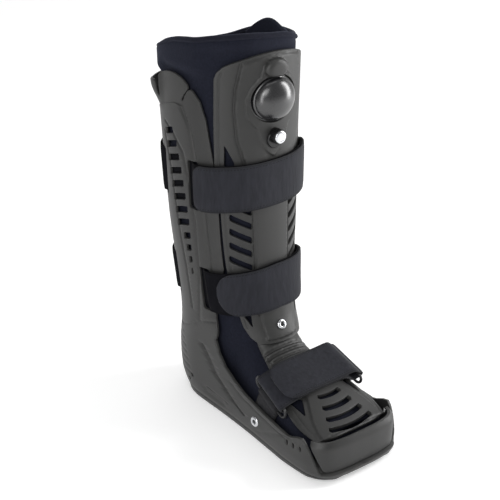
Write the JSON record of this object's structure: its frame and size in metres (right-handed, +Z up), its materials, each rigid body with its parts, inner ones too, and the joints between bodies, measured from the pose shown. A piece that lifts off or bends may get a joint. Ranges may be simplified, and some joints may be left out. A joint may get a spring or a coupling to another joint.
{
  "type": "medical walking boot",
  "caption": "Tall medical walking boot: hard shell with a rocker sole, padded liner, closing straps and an air pump on the shin.",
  "frame": {"origin": "middle of the boot's box, on the floor under the sole", "axes": "+Z up the leg, -Y towards the toes, -X towards the wearer's right"},
  "size_m": [0.136, 0.314, 0.4313],
  "materials": {
    "moulded_plastic": "fine moulded grain, charcoal",
    "sole_rubber": "smooth black",
    "liner_knit": "napped knit over foam, dark navy",
    "loop_fabric": "brushed loop face, slate grey",
    "webbing": "woven, black",
    "black_plastic": "satin black",
    "bulb_rubber": "glossy black",
    "silver_metal": "bright nickel plate"
  },
  "bodies": {
    "boot": {"rear_shell": "moulded_plastic", "toe_cap": "moulded_plastic", "outsole": "sole_rubber", "shin_shell": "moulded_plastic", "instep_shell": "moulded_plastic", "liner": "liner_knit", "liner_flap": "liner_knit", "calf_strap": "loop_fabric", "ankle_strap": "loop_fabric", "foot_strap": "loop_fabric", "foot_ring_left": "black_plastic", "foot_ring_right": "black_plastic", "foot_anchor_left": "webbing", "foot_anchor_right": "webbing", "foot_rivet_left": "silver_metal", "foot_rivet_right": "silver_metal", "pump_bulb": "bulb_rubber", "valve_knob": "black_plastic", "ankle_rivet": "silver_metal"},
    "button": {"valve_button": "silver_metal"}
  },
  "joints": [
    {"name": "valve_button_press", "type": "slide", "parent": "boot", "child": "button", "axis": [0, 1, 0], "range_m": [0, 0.0022], "stiffness_N_per_m": 600, "springref_m": -0.002}
  ]
}
